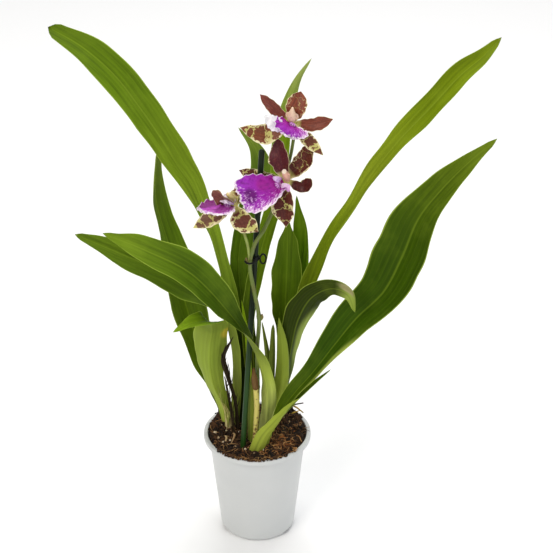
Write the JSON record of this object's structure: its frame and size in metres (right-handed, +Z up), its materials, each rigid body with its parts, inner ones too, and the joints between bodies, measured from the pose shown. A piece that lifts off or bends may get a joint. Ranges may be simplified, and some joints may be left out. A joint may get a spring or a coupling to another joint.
{
  "type": "zygopetalum orchid in a pot",
  "caption": "Potted zygopetalum orchid with strap leaves, a staked flower stem, blotched burgundy blooms with purple lips, and a plain round nursery pot of bark mix.",
  "frame": {"origin": "centre of the pot's flat base, on the surface that the pot stands on", "axes": "+Z up, +X to the right of the plant as seen from its front, +Y towards its back"},
  "size_m": [0.4703, 0.1685, 0.5965],
  "materials": {
    "pot_plastic": "moulded grey-white polypropylene, faintly mottled",
    "bark_mix": "dark composted bark with coir and moss fibres",
    "leaf_green": "satin green leaf with long parallel veins",
    "leaf_pale": "pale underside and sheath of a leaf",
    "dry_sheath": "dry papery dead sheath",
    "cane": "yellowed old cane with brown spots",
    "stake_plastic": "dark blue-green coated plant stake",
    "clip_plastic": "black moulded plant clip",
    "flower_stem": "green stem flushed brown",
    "tepal": "burgundy blotches on a yellow-green ground",
    "column": "cream, waxy",
    "lip": "purple veined, fading to white at the frilled margin"
  },
  "bodies": {
    "root": {"pot": "pot_plastic", "potting_mix": "bark_mix", "leaf_far_left": "leaf_green", "leaf_left_upright": "leaf_green", "leaf_left_arch_rear": "leaf_green", "leaf_left_arch_front": "leaf_green", "leaf_left_folded": "leaf_pale", "leaf_back_left": "leaf_green", "leaf_back_centre": "leaf_green", "leaf_mid_right_front": "leaf_green", "leaf_mid_right_rear": "leaf_green", "leaf_right_tall": "leaf_green", "leaf_right_curled": "leaf_green", "leaf_right_broad": "leaf_green", "leaf_right_small": "leaf_green", "sheath_right": "leaf_pale", "leaf_centre_pale": "leaf_pale", "leaf_centre_short": "leaf_green", "leaf_centre_dark": "leaf_green", "leaf_left_thin": "leaf_green", "sheath_left_margin": "leaf_pale", "dry_sheath_long": "dry_sheath", "dry_sheath_short": "dry_sheath", "dry_sheath_tan": "dry_sheath", "cane": "cane", "cane_sheath": "dry_sheath", "stake": "stake_plastic", "stake_clip": "clip_plastic", "flower_stem": "flower_stem", "bloom_low_tepals": "tepal", "bloom_low_column": "column", "bloom_low_lip": "lip", "bloom_mid_tepals": "tepal", "bloom_mid_column": "column", "bloom_mid_lip": "lip", "bloom_top_tepals": "tepal", "bloom_top_column": "column", "bloom_top_lip": "lip"}
  },
  "joints": []
}
